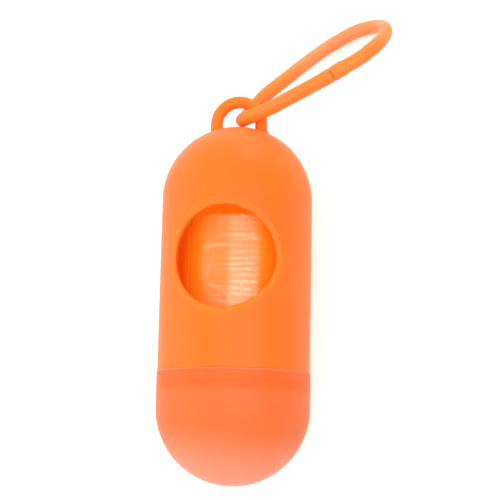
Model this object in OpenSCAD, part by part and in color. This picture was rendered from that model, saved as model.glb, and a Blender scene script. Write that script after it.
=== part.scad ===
// Dog poop bag dispenser: a screw-capped plastic capsule that holds one roll of bags, with a plug-in strap looped
// through its eyelet. It lies on its back with the dispensing window up. X runs across the capsule, Y along it from
// the cap to the eyelet, and Z up from the surface it lies on. Sizes are in millimetres.

/* [Capsule] */
// Room round the roll in the bore, if the roll were centred
roll_room = 1.95; // [1:0.05:3]
// How far the cap stands out past the body at the seam, on each side
seam_step = 0.15; // [0:0.05:0.3]
// Distance between the centres of the two round ends
straight_len = 50.5; // [46:0.5:60]
// Height of the seam above the centre of the cap's round end
seam_h = 8.5; // [6.5:0.5:10]
// Gap left at the seam when the cap is screwed home
seam_gap = 0.1; // [0.05:0.05:0.3]
// Wall of the body
body_wall = 2.4; // [2:0.1:3]
// Wall of the cap's round end
cap_wall = 1.3; // [1:0.1:1.6]
// Chamfer of the two edges that meet at the seam
seam_chamfer = 0.2; // [0.1:0.05:0.4]

/* [Window] */
// Diameter of the round hole that the bags are pulled through
window_d = 24; // [18:0.5:26]
// Distance of the window's centre from the centre of the body's round end
window_drop = 16.1; // [15.5:0.1:20]
// Width of the rounded rim, along the body's surface
rim_w = 1.8; // [1:0.1:2.5]
// Depth of the rounded rim, down the wall of the hole
rim_depth = 1.2; // [0.6:0.1:1.6]

/* [Eyelet] */
// Radius of the eyelet's arch, to the middle of its bar
eye_r = 5.6; // [5.2:0.1:8]
// Thickness of the eyelet's bar
eye_bar_d = 3; // [2.4:0.1:3.4]
// Height of the arch's centre above the top of the round end
eye_leg = 1.3; // [1:0.1:3]

/* [Thread] */
// Length of the threaded neck
neck_len = 5; // [4:0.5:6]
// Wall of the threaded neck
neck_wall = 0.85; // [0.7:0.05:1.1]
// Rise of the thread in one turn
thread_turn_h = 3; // [2.5:0.25:4]
// Height of a thread ridge
thread_h = 0.45; // [0.3:0.05:0.6]
// Width of a thread ridge at its root
thread_base = 1; // [0.8:0.1:1.1]
// Width of a thread ridge at its crest
thread_crest = 0.5; // [0.3:0.1:0.7]
// Play between a ridge's crest and the wall it runs along
thread_clear = 0.15; // [0.1:0.05:0.3]

/* [Roll of bags] */
// Outside diameter of a full roll
roll_d = 28; // [26:0.5:30]
// Length of the roll
roll_len = 51.5; // [40:0.5:52]
// Outside diameter of the card core
core_d = 11; // [9:0.5:14]
// Wall of the card core
core_wall = 1; // [0.6:0.1:1.5]
// Thickness of the first bag's turns on the outside of the roll
first_bag_t = 0.28; // [0.2:0.02:0.5]
// Share of the last turn that the first bag covers, in degrees
first_bag_wrap = 335; // [300:5:350]
// Gap between the roll and what it rests on
roll_clear = 0.3; // [0.2:0.1:1]
// Play between the core and the film wound on it
core_clear = 0.05; // [0.02:0.01:0.1]

/* [Strap] */
// Thickness of the strap's cord
cord_d = 3.5; // [3:0.1:3.6]
// Direction of the plug-in joint, in degrees from X towards Y
joint_turn = 30; // [20:1:40]
// Diameter of the plug's collar
collar_d = 3.7; // [3.6:0.1:4.2]
// Length of the plug's collar
collar_len = 2.8; // [2:0.1:3.5]
// Diameter of the socket
socket_d = 3.8; // [3.6:0.1:4.4]
// Length of the socket
socket_len = 4.2; // [4.2:0.1:5]
// Notch left between the collar and the socket
joint_gap = 0.3; // [0.1:0.1:0.6]
// Diameter of the plug's pin
pin_d = 1.9; // [1.6:0.1:2.1]
// How far the pin reaches into the socket
pin_reach = 3.2; // [2.5:0.1:3.4]
// Diameter of the snap bead on the pin
bead_d = 2.3; // [2.2:0.1:2.5]
// Play between the pin and its bore, all round
pin_clear = 0.05; // [0.02:0.01:0.1]

/* [Hidden] */
$fn = 96;

orange = [1, 0.49, 0.14];
salmon = [1, 0.52, 0.34];
film = [1, 0.84, 0.68];
film_edge = [1, 0.78, 0.58];
card = [0.72, 0.6, 0.45];
strap_orange = [1, 0.55, 0.27];

// Radii of the roll, and of the shells round it
roll_r = roll_d / 2;
bore_r = roll_r + roll_room;
body_r = bore_r + body_wall;
cap_r = body_r + seam_step;
cap_bore_r = cap_r - cap_wall;
neck_r = bore_r + neck_wall;
thread_root_r = neck_r + thread_h + thread_clear;

// Heights along the capsule, from the centre of the cap's round end
neck_end = seam_h - neck_len;
neck_chamfer = 0.3;
neck_gap = 0.4;
rim_z = seam_h - seam_gap;
window_z = straight_len - window_drop;
crest_z = straight_len + body_r;
eye_z = crest_z + eye_leg;
eye_bar_r = eye_bar_d / 2;
top_z = eye_z + eye_r + eye_bar_r;
middle_z = (top_z - cap_r) / 2;

// Legs of the eyelet, from the arch down to the middle of the dome's wall
eye_root_r = body_r - body_wall / 2;
eye_root = eye_z - straight_len - sqrt(eye_root_r * eye_root_r - eye_r * eye_r);

// Threads: each ridge fades out at both ends, and its root is sunk into the wall that carries it
thread_margin = 0.3;
thread_sink = 0.3;
thread_fade = 30;
thread_step = 9;
thread_z = neck_end + thread_margin + thread_base / 2;
thread_rise = neck_len - thread_base - 2 * thread_margin;

// Window: the arc that rounds its rim, in degrees, and how far the rim's cutter reaches past it at both ends
window_r = window_d / 2;
rim_turn = 60;
rim_steps = 5;
rim_around = 72;
rim_past = 1.2;
rim_overcut = 0.1;
rim_lift = 2;

// Roll: it lies on the bore's lower wall, and its end sits in the cap's round end
roll_drop = bore_r - roll_clear - roll_r;
roll_seat_r = cap_bore_r - roll_clear;
roll_side_r = roll_r + roll_drop;
roll_z = -sqrt(roll_seat_r * roll_seat_r - roll_side_r * roll_side_r);
core_r = core_d / 2;
wrap_gap = 0.02;
web_r = roll_r - first_bag_t - wrap_gap;
// Angle of the first bag's loose end, counted from X down towards the floor: 270 is at the top
loose_end = 250;

// Strap: everything is placed from the centre of the eyelet's arch
cord_r = cord_d / 2;
cord_sides = 8;
eye_place = [0, eye_z - middle_z, cap_r];
joint_place = [23.5, 10.7, 4.2];
joint_dir = [cos(joint_turn), sin(joint_turn), 0];
bead_back = 0.9;
socket_end = joint_place + (joint_gap / 2 + socket_len) * joint_dir;
collar_end = joint_place - (joint_gap / 2 + collar_len) * joint_dir;
// A direction square to the strap's loop, which the rings of the cord are set by
loop_side = [4, -7, -4.5];
// The cord's route from the socket round the far bend, back along the surface it lies on, through the eyelet and
// along the upper strand to the plug
strap_route = [
    [29, 13.8, 4.2], [31, 15.1, 4.1], [32.8, 16.8, 3.4], [34.3, 18.7, 1.8], [35.3, 21, -1], [35.8, 23.6, -4.6],
    [35.6, 26, -8.4], [34.7, 28, -12], [33, 29.2, -14.8], [30.8, 29.5, -16.3], [28.5, 29.1, -16.7],
    [26.2, 28.2, -16.7], [24, 27, -16.7], [21.8, 25.6, -16.4], [19.6, 23.8, -15.4], [17.3, 21.5, -13.7],
    [15.1, 19, -11.7], [13, 16.5, -9.6], [11, 14.1, -7.7], [9.1, 12, -6.2], [7.3, 10.1, -5.1], [5.4, 8.1, -4.3],
    [3.9, 6.3, -3.9], [2.6, 4.6, -3.6], [1.6, 3, -3], [1, 1.7, -1.7], [0.9, 1, 0], [1.6, 0.8, 1.7],
    [3, 0.9, 3], [4.9, 1.4, 3.6], [6.8, 2.1, 3.8], [8.7, 3, 3.8], [10.6, 3.9, 3.8], [12.5, 4.9, 3.9],
    [14.5, 5.9, 4], [16.5, 6.9, 4.1], [18.5, 7.9, 4.2]];

function unit(v) = v / norm(v);

// Stands a shape that is drawn upwards from the centre of the cap's round end down on the capsule's axis. Its -Y
// side becomes the top.
module lay() {
    translate([0, -middle_z, cap_r])
        rotate([-90, 0, 0])
            children();
}

// Points a shape that is drawn along Z the way the plug-in joint runs
module along_joint() {
    translate(eye_place + joint_place)
        rotate([0, 90, joint_turn])
            children();
}

// A closed tube of triangles through a list of rings with the same number of points. Seen along the tube, each ring
// runs clockwise.
module skin(rings) {
    n = len(rings[0]);
    m = len(rings);
    walls = [for (i = [0 : m - 2], j = [0 : n - 1])
        let (k = (j + 1) % n)
            each [[i * n + j, (i + 1) * n + j, i * n + k], [i * n + k, (i + 1) * n + j, (i + 1) * n + k]]];
    first = [for (j = [1 : n - 2]) [0, j, j + 1]];
    end = [for (j = [1 : n - 2]) [(m - 1) * n, (m - 1) * n + j + 1, (m - 1) * n + j]];
    polyhedron([for (ring = rings) each ring], concat(walls, first, end), convexity = 10);
}

// One ridge of a right-handed thread. side is 1 on the outside of a wall and -1 on its inside.
module thread_ridge(wall_r, side, start_turn, rise) {
    turn = 360 * rise / thread_turn_h;
    steps = ceil(turn / thread_step);
    root = wall_r - side * thread_sink;
    hidden_crest = wall_r - side * thread_sink / 2;
    crest = wall_r + side * thread_h;
    skin([for (i = [0 : steps])
        let (
            at = turn * i / steps,
            shown = min(1, at / thread_fade, (turn - at) / thread_fade),
            r = hidden_crest + (crest - hidden_crest) * shown,
            a = start_turn + at,
            z = thread_z + thread_turn_h * at / 360,
            section = [[root, side * thread_base / 2], [r, side * thread_crest / 2],
                [r, -side * thread_crest / 2], [root, -side * thread_base / 2]]
        )
            [for (p = section) [p[0] * cos(a), p[0] * sin(a), z + p[1]]]]);
}

// Half of the body's cross-section: round end, tube and threaded neck
module body_profile() {
    difference() {
        intersection() {
            translate([0, straight_len])
                circle(r = body_r);
            translate([0, straight_len])
                square([body_r, body_r]);
        }
        translate([0, straight_len])
            circle(r = bore_r);
    }
    polygon([[bore_r, seam_h], [body_r - seam_chamfer, seam_h], [body_r, seam_h + seam_chamfer],
        [body_r, straight_len], [bore_r, straight_len]]);
    polygon([[bore_r, neck_end], [neck_r - neck_chamfer, neck_end], [neck_r, neck_end + neck_chamfer],
        [neck_r, seam_h], [bore_r, seam_h]]);
}

// Half of the cap's cross-section: round end, and a skirt that is relieved for the thread
module cap_profile() {
    difference() {
        intersection() {
            circle(r = cap_r);
            translate([0, -cap_r])
                square([cap_r, cap_r]);
        }
        circle(r = cap_bore_r);
    }
    polygon([[cap_bore_r, 0], [cap_r, 0], [cap_r, rim_z - seam_chamfer], [cap_r - seam_chamfer, rim_z],
        [thread_root_r, rim_z], [thread_root_r, neck_end - neck_gap], [cap_bore_r, neck_end - neck_gap]]);
}

// The arch of the eyelet and its two legs, standing on the round end
module eyelet() {
    translate([0, 0, eye_z])
        rotate([90, 0, 0])
            rotate_extrude(angle = 180)
                translate([eye_r, 0])
                    circle(r = eye_bar_r);
    for (side = [-1, 1])
        translate([side * eye_r, 0, eye_z - eye_root])
            cylinder(r = eye_bar_r, h = eye_root);
}

// A point of the window's rounded rim: at is the angle round the window, and share goes from 0 on the wall of the
// hole to 1 on the body's surface, and on into the air above it
function rim_point(at, share) =
    let (
        turn = rim_turn * share,
        slope = sqrt(1 - pow(window_r * cos(at) / body_r, 2)),
        r = window_r + rim_w * slope * (1 - cos(turn)) / (1 - cos(rim_turn)),
        depth = rim_depth * (1 - sin(turn) / sin(rim_turn)),
        x = r * cos(at)
    )
        [x, depth - sqrt(body_r * body_r - x * x), window_z + r * sin(at)];

// A ring of the rim's cutter, moved inwards and down by sunk
function rim_ring(share, sunk = 0) =
    [for (i = [0 : rim_around - 1])
        let (at = 360 * i / rim_around)
            rim_point(at, share) + sunk * [-cos(at), 1, -sin(at)]];

// What the window takes out of the body: the round hole, and the rounding of its outer edge
module window_cut() {
    translate([0, 0, window_z])
        rotate([90, 0, 0])
            cylinder(r = window_r, h = body_r + rim_lift);
    skin(concat(
        [rim_ring(0, rim_overcut)],
        [for (i = [1 : rim_steps]) rim_ring(rim_past * i / rim_steps)],
        [[for (p = rim_ring(rim_past)) [p[0], -body_r - rim_lift, p[2]]]]));
}

module dispenser_body() {
    color(orange)
        lay()
            difference() {
                union() {
                    rotate_extrude()
                        body_profile();
                    thread_ridge(neck_r, 1, 0, thread_rise);
                    eyelet();
                }
                window_cut();
            }
}

module end_cap() {
    color(salmon)
        lay() {
            rotate_extrude()
                cap_profile();
            thread_ridge(thread_root_r, -1, 180, thread_rise - seam_gap);
        }
}

// Places a shape on the roll's axis, at the end that sits in the cap
module on_roll() {
    lay()
        translate([0, roll_drop, roll_z])
            children();
}

// A straight tube along Z
module tube(outer_r, inner_r, length, turn = 360) {
    rotate_extrude(angle = turn)
        translate([inner_r, 0])
            square([outer_r - inner_r, length]);
}

module roll_core() {
    color(card)
        on_roll()
            tube(core_r, core_r - core_wall, roll_len);
}

module bag_roll() {
    color(film)
        on_roll()
            tube(web_r, core_r + core_clear, roll_len);
}

module first_bag() {
    color(film_edge)
        on_roll()
            rotate([0, 0, loose_end])
                tube(roll_r, web_r + wrap_gap, roll_len, first_bag_wrap);
}

// The direction of the cord at point i of its route
function cord_dir(points, i) =
    i == 0 || i == len(points) - 1 ? joint_dir : unit(points[i + 1] - points[i - 1]);

module strap_cord() {
    points = concat([socket_end], strap_route, [collar_end]);
    color(strap_orange)
        translate(eye_place)
            skin([for (i = [0 : len(points) - 1])
                let (
                    along = cord_dir(points, i),
                    across = unit(cross(loop_side, along)),
                    up = cross(along, across)
                )
                    [for (k = [0 : cord_sides - 1])
                        let (a = 360 * k / cord_sides)
                            points[i] + cord_r * (cos(a) * across + sin(a) * up)]]);
}

// The plug: a collar on the cord's end, and a pin with a snap bead
module strap_plug() {
    color(strap_orange)
        along_joint() {
            translate([0, 0, -joint_gap / 2 - collar_len])
                cylinder(d = collar_d, h = collar_len);
            translate([0, 0, -joint_gap / 2])
                cylinder(d = pin_d, h = joint_gap + pin_reach);
            translate([0, 0, joint_gap / 2 + pin_reach - bead_back])
                sphere(d = bead_d);
        }
}

// The socket on the cord's other end, with a groove for the plug's snap bead
module strap_socket() {
    color(strap_orange)
        along_joint()
            difference() {
                translate([0, 0, joint_gap / 2])
                    cylinder(d = socket_d, h = socket_len);
                cylinder(d = pin_d + 2 * pin_clear, h = joint_gap / 2 + pin_reach + pin_clear);
                translate([0, 0, joint_gap / 2 + pin_reach - bead_back])
                    sphere(d = bead_d + 2 * pin_clear);
            }
}

dispenser_body();
end_cap();
roll_core();
bag_roll();
first_bag();
strap_cord();
strap_plug();
strap_socket();
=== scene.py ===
"""Dresses a dog poop bag dispenser: a screw-capped capsule with a window, its roll of bags and a strap.

The packed model is the fixed frame. X runs across the capsule, Y along it from the cap to the eyelet, and Z
up from the surface it lies on. Everything is in metres.
"""

import math

import bmesh
import bpy
from bpy.props import FloatProperty, FloatVectorProperty, IntProperty, PointerProperty
from mathutils import Matrix, Vector


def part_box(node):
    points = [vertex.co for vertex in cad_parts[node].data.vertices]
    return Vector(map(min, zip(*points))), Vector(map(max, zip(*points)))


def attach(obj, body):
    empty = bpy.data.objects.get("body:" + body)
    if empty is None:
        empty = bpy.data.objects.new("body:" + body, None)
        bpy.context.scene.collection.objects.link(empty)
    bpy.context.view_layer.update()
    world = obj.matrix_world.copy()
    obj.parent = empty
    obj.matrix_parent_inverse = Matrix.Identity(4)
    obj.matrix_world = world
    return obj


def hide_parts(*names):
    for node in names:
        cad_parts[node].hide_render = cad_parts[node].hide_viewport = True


bl_info = {
    "name": "Dog poop bag dispenser",
    "version": (1, 0, 0),
    "blender": (4, 5, 0),
    "location": "3D View > Sidebar > Dispenser",
    "description": "Builds a capsule for a roll of dog waste bags, with its screw cap, film roll and strap",
    "category": "Object",
}

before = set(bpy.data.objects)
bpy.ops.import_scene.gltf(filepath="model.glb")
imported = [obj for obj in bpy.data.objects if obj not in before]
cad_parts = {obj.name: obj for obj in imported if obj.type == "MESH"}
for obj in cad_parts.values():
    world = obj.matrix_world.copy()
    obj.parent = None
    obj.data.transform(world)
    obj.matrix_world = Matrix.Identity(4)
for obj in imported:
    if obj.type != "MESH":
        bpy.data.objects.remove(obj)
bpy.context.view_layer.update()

MM = 0.001
BODY_LOW, BODY_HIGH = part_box("dispenser_body")
CAP_LOW, CAP_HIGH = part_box("end_cap")
WEB_LOW, WEB_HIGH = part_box("bag_roll")
TURN_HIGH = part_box("first_bag")[1]
CORE_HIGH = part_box("roll_core")[1]

# Sizes that the frame gives
BODY_R = BODY_HIGH.x
CAP_R = CAP_HIGH.x
AXIS_Z = CAP_R
BODY_END_Y = BODY_LOW.y
SEAM_Y = CAP_HIGH.y
CAP_CENTRE_Y = CAP_LOW.y + CAP_R
ROLL_Z = (WEB_LOW.z + WEB_HIGH.z) / 2
ROLL_LEN = WEB_HIGH.y - WEB_LOW.y
ROLL_R = TURN_HIGH.x
FULL_TURN = math.tau
QUARTER_TURN = math.pi / 2

# Points of a mesh that are closer than this are one
WELD = 0.001 * MM

# Where the film is pulled tight at the window, and where the first bag leaves the roll below it, as turns
# about the roll's axis from the top towards +X
TIGHT_TURN = 0.3
BAG_END_TURN = math.radians(315)

# Radius at which the pattern of the film's ridges is worked out
RIDGE_R = 14 * MM

# What is left of light after it has passed one face of a translucent wall
BODY_TINT = (0.97, 0.72, 0.25)
CAP_TINT = (0.97, 0.68, 0.4)
FILM_TINT = (0.9, 0.6, 0.3)


class CapsuleSizes(bpy.types.PropertyGroup):
    """Sizes of the body and its screw cap"""

    body_wall: FloatProperty(
        name="Body wall", description="Wall of the body", default=2.4 * MM, unit="LENGTH"
    )
    cap_wall: FloatProperty(
        name="Cap wall", description="Wall of the cap's round end", default=1.3 * MM, unit="LENGTH"
    )
    seam_gap: FloatProperty(
        name="Seam gap", description="Gap between the body's shoulder and the cap's rim",
        default=0.05 * MM, unit="LENGTH"
    )
    edge_round: FloatProperty(
        name="Seam edge", description="Radius of the two edges that meet at the seam",
        default=0.12 * MM, unit="LENGTH"
    )
    straight_len: FloatProperty(
        name="Centre distance", description="Distance between the centres of the two round ends",
        default=50.5 * MM, unit="LENGTH"
    )
    window_d: FloatProperty(
        name="Window", description="Diameter of the hole that the bags are pulled through",
        default=24 * MM, unit="LENGTH"
    )
    window_drop: FloatProperty(
        name="Window drop",
        description="Distance of the window's centre from the centre of the body's round end",
        default=16.1 * MM, unit="LENGTH"
    )
    rim_w: FloatProperty(
        name="Rim width", description="Width of the window's rounded rim, along the surface",
        default=1.8 * MM, unit="LENGTH"
    )
    rim_depth: FloatProperty(
        name="Rim depth", description="Depth of the window's rounded rim, down the hole",
        default=1.2 * MM, unit="LENGTH"
    )
    eye_r: FloatProperty(
        name="Eyelet radius", description="Radius of the eyelet's arch, to the middle of its bar",
        default=5.6 * MM, unit="LENGTH"
    )
    eye_bar_d: FloatProperty(
        name="Eyelet bar", description="Thickness of the eyelet's bar", default=3 * MM, unit="LENGTH"
    )
    eye_fillet: FloatProperty(
        name="Eyelet fillet", description="Radius where the eyelet's legs run into the round end",
        default=0.4 * MM, unit="LENGTH"
    )


class ThreadSizes(bpy.types.PropertyGroup):
    """Sizes of the screw thread on the body's neck and inside the cap"""

    neck_wall: FloatProperty(
        name="Neck wall", description="Wall of the threaded neck", default=0.85 * MM, unit="LENGTH"
    )
    neck_edge: FloatProperty(
        name="Neck edge", description="Chamfer at the end of the neck", default=0.3 * MM, unit="LENGTH"
    )
    turn_height: FloatProperty(
        name="Rise per turn", description="Rise of the thread in one turn", default=3 * MM, unit="LENGTH"
    )
    ridge_h: FloatProperty(
        name="Ridge height", description="Height of a thread ridge", default=0.45 * MM, unit="LENGTH"
    )
    ridge_w: FloatProperty(
        name="Ridge width", description="Width of a thread ridge at its root",
        default=1 * MM, unit="LENGTH"
    )
    play: FloatProperty(
        name="Play", description="Play between a ridge and the wall it runs along",
        default=0.15 * MM, unit="LENGTH"
    )
    margin: FloatProperty(
        name="Margin", description="Bare length at both ends of the thread",
        default=0.3 * MM, unit="LENGTH"
    )
    relief_below: FloatProperty(
        name="Relief length", description="How far the cap's relief reaches past the end of the neck",
        default=0.4 * MM, unit="LENGTH"
    )


class RollSizes(bpy.types.PropertyGroup):
    """Sizes of the roll of bags"""

    film_t: FloatProperty(
        name="Film thickness", description="Thickness of the first bag's folded film",
        default=0.12 * MM, unit="LENGTH"
    )
    ridge_step: FloatProperty(
        name="Ridge spacing", description="Distance between the ridges of the stretched film",
        default=1.4 * MM, unit="LENGTH"
    )
    ridge_h: FloatProperty(
        name="Ridge height", description="Height of the ridges of the stretched film",
        default=0.1 * MM, unit="LENGTH"
    )
    turn_step: FloatProperty(
        name="Turn spacing", description="Spacing of the turns that show at the roll's ends",
        default=0.8 * MM, unit="LENGTH"
    )
    uneven: FloatProperty(
        name="Uneven ends", description="How far the turns stand in and out at the roll's ends",
        default=0.12 * MM, unit="LENGTH"
    )
    core_play: FloatProperty(
        name="Core play", description="Play between the card core and the film",
        default=0.05 * MM, unit="LENGTH"
    )
    seed: IntProperty(
        name="Crease seed", description="Picks the pattern of creases in the film", default=4, min=0
    )


class StrapSizes(bpy.types.PropertyGroup):
    """Sizes of the strap, its plug and its socket"""

    cord_d: FloatProperty(
        name="Cord", description="Thickness of the strap's cord", default=3.5 * MM, unit="LENGTH"
    )
    joint_turn: FloatProperty(
        name="Joint direction", description="Direction of the plug-in joint, from X towards Y",
        default=math.radians(30), subtype="ANGLE"
    )
    collar_d: FloatProperty(
        name="Collar", description="Diameter of the plug's collar", default=3.7 * MM, unit="LENGTH"
    )
    collar_len: FloatProperty(
        name="Collar length", description="Length of the plug's collar", default=2.8 * MM, unit="LENGTH"
    )
    socket_d: FloatProperty(
        name="Socket", description="Diameter of the socket", default=3.8 * MM, unit="LENGTH"
    )
    socket_len: FloatProperty(
        name="Socket length", description="Length of the socket", default=4.2 * MM, unit="LENGTH"
    )
    joint_gap: FloatProperty(
        name="Joint notch", description="Notch between the collar and the socket",
        default=0.12 * MM, unit="LENGTH"
    )
    pin_d: FloatProperty(
        name="Pin", description="Diameter of the plug's pin", default=1.9 * MM, unit="LENGTH"
    )
    pin_reach: FloatProperty(
        name="Pin reach", description="How far the pin reaches into the socket",
        default=3.2 * MM, unit="LENGTH"
    )
    bead_d: FloatProperty(
        name="Snap bead", description="Diameter of the snap bead on the pin",
        default=2.3 * MM, unit="LENGTH"
    )
    bead_back: FloatProperty(
        name="Bead place", description="Distance of the bead's centre from the pin's tip",
        default=0.9 * MM, unit="LENGTH"
    )
    pin_play: FloatProperty(
        name="Pin play", description="Play between the pin and its bore",
        default=0.05 * MM, unit="LENGTH"
    )


class Finishes(bpy.types.PropertyGroup):
    """Colours of the plastics, the film, the card and the strap, some painted with light and shade"""

    body: FloatVectorProperty(
        name="Body", description="Colour of the body's plastic",
        default=(1.0, 0.208, 0.022), size=3, subtype="COLOR"
    )
    # Painted light: the inner faces are painted lighter than the body, for the light that shines through
    # the translucent wall into the cavity
    inside: FloatVectorProperty(
        name="Inside", description="Colour of the body's inner faces",
        default=(1.0, 0.37, 0.03), size=3, subtype="COLOR"
    )
    # Painted light: paler where light shines through the thin plastic at the window's rim and at the eyelet
    rim: FloatVectorProperty(
        name="Window rim", description="Colour where the body thins to the window's rim",
        default=(1.0, 0.235, 0.026), size=3, subtype="COLOR"
    )
    cap: FloatVectorProperty(
        name="Cap", description="Colour of the cap's translucent plastic",
        default=(1.0, 0.198, 0.052), size=3, subtype="COLOR"
    )
    # Painted shade: darker where the neck and its thread stand behind the translucent cap
    cap_neck_shade: FloatVectorProperty(
        name="Cap over neck", description="Colour of the cap where the neck shows through it",
        default=(1.0, 0.152, 0.022), size=3, subtype="COLOR"
    )
    # Painted light: pale where light shines through the cap's empty round end, and a painted highlight
    # along the cap's rim
    cap_painted_light: FloatVectorProperty(
        name="Cap end", description="Colour of the cap's empty round end",
        default=(1.0, 0.32, 0.19), size=3, subtype="COLOR"
    )
    # Lit and shaded copies of the film: painted light on the top of the roll, where light falls in at the
    # window
    film: FloatVectorProperty(
        name="Film", description="Colour of the film on top of the roll",
        default=(1.0, 0.27, 0.045), size=3, subtype="COLOR"
    )
    # Painted shade: the film's sides, deeper in the cavity's orange shade
    film_shaded_side: FloatVectorProperty(
        name="Film sides", description="Colour of the film away from the top of the roll",
        default=(1.0, 0.285, 0.01), size=3, subtype="COLOR"
    )
    # Paler film: creases, and painted glints where the ridges and edges catch the light
    film_crease_and_glint: FloatVectorProperty(
        name="Film creases", description="Colour of the film where it is creased",
        default=(1.0, 0.62, 0.36), size=3, subtype="COLOR"
    )
    card: FloatVectorProperty(
        name="Card", description="Colour of the card core",
        default=(0.45, 0.33, 0.2), size=3, subtype="COLOR"
    )
    strap: FloatVectorProperty(
        name="Strap", description="Colour of the strap's rubber",
        default=(1.0, 0.265, 0.035), size=3, subtype="COLOR"
    )
    # Painted light: paler where the strap lies low and light from the floor comes through it
    strap_low_lit: FloatVectorProperty(
        name="Low strap", description="Colour of the strap where it lies low and light comes through it",
        default=(1.0, 0.32, 0.11), size=3, subtype="COLOR"
    )


class StageSettings(bpy.types.PropertyGroup):
    """The floor and the studio light"""

    surround: FloatProperty(
        name="Surrounding light", description="Strength of the even light from all round",
        default=0.6, min=0
    )
    lean: FloatProperty(
        name="Lean", description="How much stronger the surrounding light is on the left",
        default=0.35, min=0
    )
    key: FloatProperty(
        name="Key light", description="Strength of the long soft lamp above the window",
        default=4.4, min=0
    )
    fill: FloatProperty(
        name="Fill light", description="Strength of the wide soft lamp on the left", default=0.9, min=0
    )
    top: FloatProperty(
        name="Top light", description="Strength of the soft lamp behind the eyelet", default=4.5, min=0
    )
    front: FloatProperty(
        name="Front light", description="Strength of the soft lamp beyond the cap", default=0.8, min=0
    )
    floor: FloatVectorProperty(
        name="Floor", description="Colour of the floor", default=(0.9, 0.9, 0.9), size=3, subtype="COLOR"
    )
    floor_glow: FloatProperty(
        name="Floor brightening", description="How much brighter the camera sees the floor",
        default=0.3, min=0
    )


GROUPS = {
    "dispenser_capsule": CapsuleSizes,
    "dispenser_thread": ThreadSizes,
    "dispenser_roll": RollSizes,
    "dispenser_strap": StrapSizes,
    "dispenser_finish": Finishes,
    "dispenser_stage": StageSettings,
}


class Value:
    """A number worked out in a node tree. Sums and products of values add their maths nodes."""

    def __init__(self, tree, socket):
        self.tree = tree
        self.socket = socket

    def math(self, operation, *others):
        return maths(self.tree, operation, self, *others)

    def __add__(self, other):
        return maths(self.tree, "ADD", self, other)

    def __radd__(self, other):
        return maths(self.tree, "ADD", other, self)

    def __sub__(self, other):
        return maths(self.tree, "SUBTRACT", self, other)

    def __rsub__(self, other):
        return maths(self.tree, "SUBTRACT", other, self)

    def __mul__(self, other):
        return maths(self.tree, "MULTIPLY", self, other)

    def __truediv__(self, other):
        return maths(self.tree, "DIVIDE", self, other)

    def __neg__(self):
        return maths(self.tree, "MULTIPLY", self, -1.0)


def connect(tree, socket, value):
    """Links a value to a node's socket, or writes a plain number, colour or name there."""
    if isinstance(value, Value):
        value = value.socket
    if isinstance(value, bpy.types.NodeSocket):
        tree.links.new(value, socket)
    else:
        socket.default_value = value


def maths(tree, operation, *values):
    """A maths node on values or plain numbers."""
    node = tree.nodes.new("ShaderNodeMath")
    node.operation = operation
    for socket, value in zip(node.inputs, values):
        connect(tree, socket, value)
    return Value(tree, node.outputs[0])


def ramp(value, start, end, low=0.0, high=1.0, smooth=False):
    """Goes from low to high as value goes from start to end, and stays there outside them."""
    node = value.tree.nodes.new("ShaderNodeMapRange")
    node.interpolation_type = "SMOOTHSTEP" if smooth else "LINEAR"
    names = ("Value", "From Min", "From Max", "To Min", "To Max")
    for name, given in zip(names, (value, start, end, low, high)):
        connect(value.tree, node.inputs[name], given)
    return Value(value.tree, node.outputs["Result"])


def noise(tree, place, scale, detail=2.0):
    """Smooth noise from about 0 to 1."""
    node = tree.nodes.new("ShaderNodeTexNoise")
    connect(tree, node.inputs["Vector"], place)
    connect(tree, node.inputs["Scale"], scale)
    connect(tree, node.inputs["Detail"], detail)
    return Value(tree, node.outputs[0])


def combine(tree, x, y, z):
    """A vector made of three numbers."""
    node = tree.nodes.new("ShaderNodeCombineXYZ")
    for socket, value in zip(node.inputs, (x, y, z)):
        connect(tree, socket, value)
    return node.outputs[0]


def separate(tree, vector):
    """The three numbers of a vector."""
    node = tree.nodes.new("ShaderNodeSeparateXYZ")
    tree.links.new(vector, node.inputs[0])
    return [Value(tree, socket) for socket in node.outputs]


class Skin:
    """Collects grids of points, and turns them into one closed mesh."""

    def __init__(self):
        self.points = []
        self.faces = []
        self.corners = []

    def add(self, rows, across=None, along=None):
        """Adds the quads between rows of points. across and along are the two coordinates of its UV map."""
        start, width = len(self.points), len(rows[0])
        across = across or [j / (width - 1) for j in range(width)]
        along = along or [i / (len(rows) - 1) for i in range(len(rows))]
        for row in rows:
            self.points.extend(row)
        for i in range(len(rows) - 1):
            for j in range(width - 1):
                first = start + i * width + j
                self.faces.append((first, first + 1, first + width + 1, first + width))
                left, right, low, high = across[j], across[j + 1], along[i], along[i + 1]
                self.corners.extend(((left, low), (right, low), (right, high), (left, high)))

    def mesh(self, name):
        mesh = bpy.data.meshes.new(name)
        mesh.from_pydata(self.points, [], self.faces)
        layer = mesh.uv_layers.new(name="UVMap")
        layer.data.foreach_set("uv", [number for corner in self.corners for number in corner])
        return mesh


def tidied(mesh, sharp=35):
    """Merges doubles, turns the faces outwards and smooths the shading up to an angle in degrees."""
    work = bmesh.new()
    work.from_mesh(mesh)
    bmesh.ops.remove_doubles(work, verts=work.verts, dist=WELD)
    bmesh.ops.recalc_face_normals(work, faces=work.faces)
    work.to_mesh(mesh)
    work.free()
    mesh.shade_smooth()
    mesh.set_sharp_from_angle(angle=math.radians(sharp))
    return mesh


def joined(name, meshes):
    """One mesh made of several."""
    work = bmesh.new()
    for mesh in meshes:
        work.from_mesh(mesh)
    whole = bpy.data.meshes.new(name)
    work.to_mesh(whole)
    work.free()
    return whole


def show(name, mesh, material, body, slot, *nodes):
    """Makes a mesh a piece that rides on a body and stands for the given nodes."""
    mesh.materials.clear()
    mesh.materials.append(material)
    piece = bpy.data.objects.new(name, mesh)
    bpy.context.scene.collection.objects.link(piece)
    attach(piece, body)
    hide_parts(*nodes)
    return piece


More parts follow.
